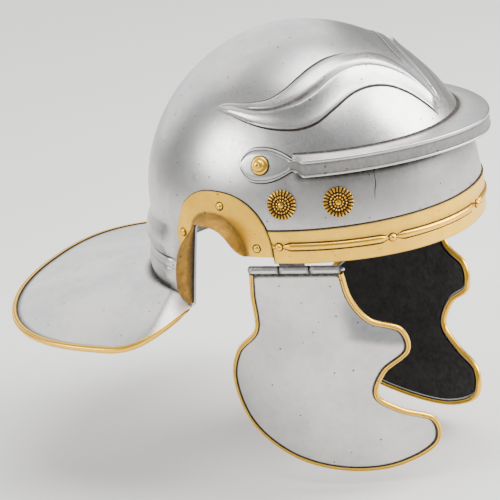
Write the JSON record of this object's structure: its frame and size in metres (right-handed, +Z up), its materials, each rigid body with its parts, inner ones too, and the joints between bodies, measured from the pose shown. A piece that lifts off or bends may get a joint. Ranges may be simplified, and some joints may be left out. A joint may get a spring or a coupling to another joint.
{
  "type": "roman legionary helmet",
  "caption": "Iron legionary helmet with ribbed nape, wide neck guard, brow peak, embossed eyebrows, brass trim, rosettes, ear guards and hinged cheek guards.",
  "frame": {"origin": "centre of the rim, in the plane of the brow band's lower edge, where a head sits", "axes": "+X the wearer's front, +Y the wearer's left, +Z up"},
  "size_m": [0.3596, 0.2658, 0.3094],
  "materials": {
    "iron": "satin, lightly pitted",
    "brass": "satin, lightly tarnished",
    "aged_brass": "dull, speckled with tarnish",
    "lining_leather": "matt black"
  },
  "bodies": {
    "helmet": {"bowl": "iron", "neck_guard_edging": "brass", "brow_band": "brass", "brow_peak": "iron", "band_rivet_front": "brass", "ear_guard_right": "aged_brass", "ear_guard_left": "aged_brass", "band_rivet_side_right": "brass", "band_rivet_side_left": "brass", "band_rivet_quarter_right": "brass", "band_rivet_quarter_left": "brass", "ear_rivet_front_right": "brass", "ear_rivet_front_left": "brass", "ear_rivet_top_right": "brass", "ear_rivet_top_left": "brass", "ear_rivet_back_right": "brass", "ear_rivet_back_left": "brass", "peak_rivet_right": "brass", "peak_rivet_left": "brass", "rosette_rear_right": "brass", "rosette_rear_left": "brass", "rosette_fore_right": "brass", "rosette_fore_left": "brass", "hinge_upper_leaf_right": "iron", "hinge_upper_leaf_left": "iron", "hinge_pin_right": "iron", "hinge_pin_left": "iron"},
    "cheek_right": {"hinge_lower_leaf_right": "iron", "cheek_guard_right": "iron", "cheek_edging_right": "brass", "cheek_lining_right": "lining_leather"},
    "cheek_left": {"hinge_lower_leaf_left": "iron", "cheek_guard_left": "iron", "cheek_edging_left": "brass", "cheek_lining_left": "lining_leather"}
  },
  "joints": [
    {"name": "cheek_right_hinge", "type": "hinge", "parent": "helmet", "child": "cheek_right", "pos_m": [0.0255, -0.09181, -0.0065], "axis": [-0.9859, -0.1676, 0], "range_deg": [-10, 90]},
    {"name": "cheek_left_hinge", "type": "hinge", "parent": "helmet", "child": "cheek_left", "pos_m": [0.0255, 0.09181, -0.0065], "axis": [0.9859, -0.1676, 0], "range_deg": [-10, 90]}
  ]
}
